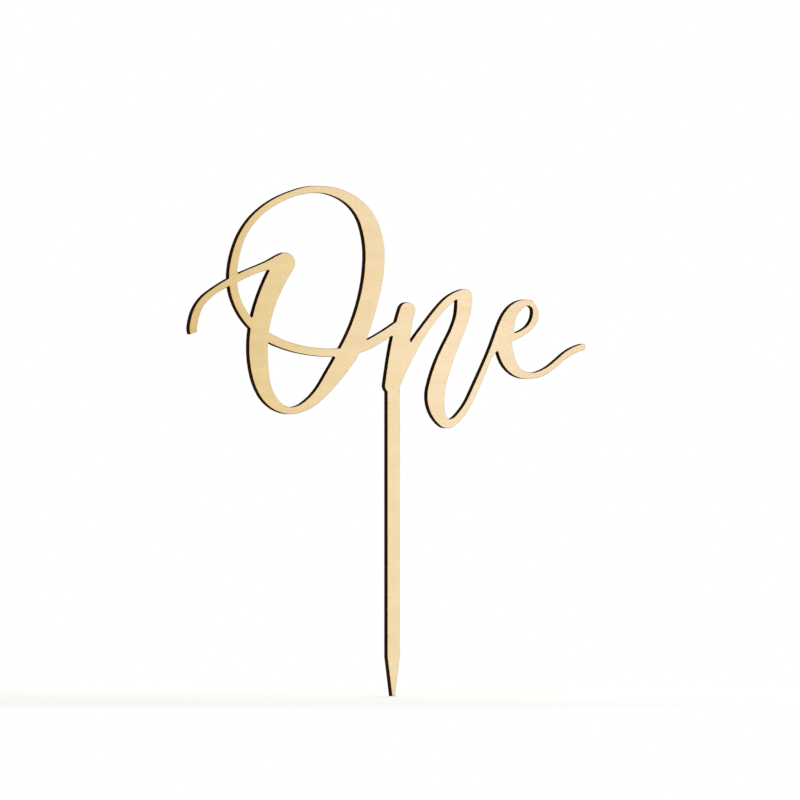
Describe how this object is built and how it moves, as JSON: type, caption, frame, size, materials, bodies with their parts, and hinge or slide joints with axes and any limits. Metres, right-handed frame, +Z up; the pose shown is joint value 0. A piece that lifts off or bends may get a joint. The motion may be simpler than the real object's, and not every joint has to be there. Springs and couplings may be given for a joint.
{
  "type": "cake topper",
  "caption": "Flat laser-cut plywood topper: the word for number one in joined script, standing on a narrow pointed stake that pushes into soft food.",
  "frame": {"origin": "middle of the stake's section at the level that the stake is pushed in to", "axes": "+X along the word in reading direction, +Y from the front face to the back, +Z up the stake"},
  "size_m": [0.1504, 0.0032, 0.1807],
  "materials": {
    "face_veneer": "bare sanded pale veneer, grain along X, cut edges charred dark brown by the laser",
    "core_veneer": "bare veneer, grain along Z, seen only at the charred cut edge",
    "glue_line": "cured glue film, seen only as a thin dark line on the charred cut edge"
  },
  "bodies": {
    "root": {"front_face_veneer": "face_veneer", "front_glue_line": "glue_line", "core_veneer": "core_veneer", "rear_glue_line": "glue_line", "rear_face_veneer": "face_veneer"}
  },
  "joints": []
}
